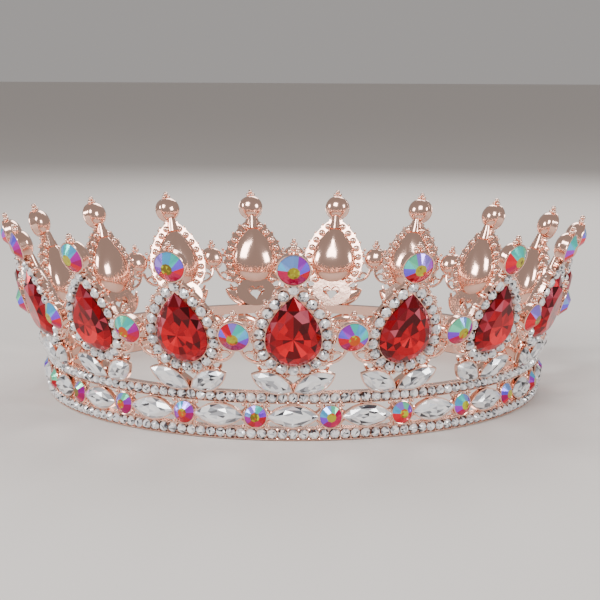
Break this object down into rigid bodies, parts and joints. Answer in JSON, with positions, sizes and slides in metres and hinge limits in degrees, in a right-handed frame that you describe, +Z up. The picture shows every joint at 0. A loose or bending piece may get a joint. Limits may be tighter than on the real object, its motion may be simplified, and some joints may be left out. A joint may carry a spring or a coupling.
{
  "type": "crown",
  "caption": "Full-round rose-gold crown: stone-set rails and band below a ring of outward-leaning pear-stone settings, each topped by a round finial.",
  "frame": {"origin": "on the crown's axis, in the plane of the lower rail's underside that it rests on", "axes": "+Z up along the crown's axis, -Y to the front, through the middle of one pear setting; +X to the wearer's left"},
  "size_m": [0.159, 0.1583, 0.0475],
  "materials": {
    "rose_gold_plate": "polished rose-gold electroplate on a cast alloy",
    "clear_crystal": "foil-backed clear faceted crystal",
    "red_crystal": "foil-backed siam-red faceted crystal",
    "iridescent_red_crystal": "foil-backed red crystal with an iridescent coating"
  },
  "bodies": {
    "root": {"lower_rail": "rose_gold_plate", "upper_rail": "rose_gold_plate", "band_marquise_cups": "rose_gold_plate", "band_round_cups": "rose_gold_plate", "pear_setting_01": "rose_gold_plate", "pear_setting_02": "rose_gold_plate", "pear_setting_03": "rose_gold_plate", "pear_setting_04": "rose_gold_plate", "pear_setting_05": "rose_gold_plate", "pear_setting_06": "rose_gold_plate", "pear_setting_07": "rose_gold_plate", "pear_setting_08": "rose_gold_plate", "pear_setting_09": "rose_gold_plate", "pear_setting_10": "rose_gold_plate", "pear_setting_11": "rose_gold_plate", "pear_setting_12": "rose_gold_plate", "pear_setting_13": "rose_gold_plate", "pear_setting_14": "rose_gold_plate", "pear_setting_15": "rose_gold_plate", "pear_setting_16": "rose_gold_plate", "pear_setting_17": "rose_gold_plate", "bridge_setting_01": "rose_gold_plate", "bridge_setting_02": "rose_gold_plate", "bridge_setting_03": "rose_gold_plate", "bridge_setting_04": "rose_gold_plate", "bridge_setting_05": "rose_gold_plate", "bridge_setting_06": "rose_gold_plate", "bridge_setting_07": "rose_gold_plate", "bridge_setting_08": "rose_gold_plate", "bridge_setting_09": "rose_gold_plate", "bridge_setting_10": "rose_gold_plate", "bridge_setting_11": "rose_gold_plate", "bridge_setting_12": "rose_gold_plate", "bridge_setting_13": "rose_gold_plate", "bridge_setting_14": "rose_gold_plate", "bridge_setting_15": "rose_gold_plate", "bridge_setting_16": "rose_gold_plate", "bridge_setting_17": "rose_gold_plate", "lower_rail_stones": "clear_crystal", "upper_rail_stones": "clear_crystal", "band_marquise_stones": "clear_crystal", "band_round_stones": "iridescent_red_crystal", "pear_stones": "red_crystal", "halo_stones": "clear_crystal", "leaf_stones": "clear_crystal", "finial_stones": "iridescent_red_crystal", "bridge_stones": "iridescent_red_crystal"}
  },
  "joints": []
}
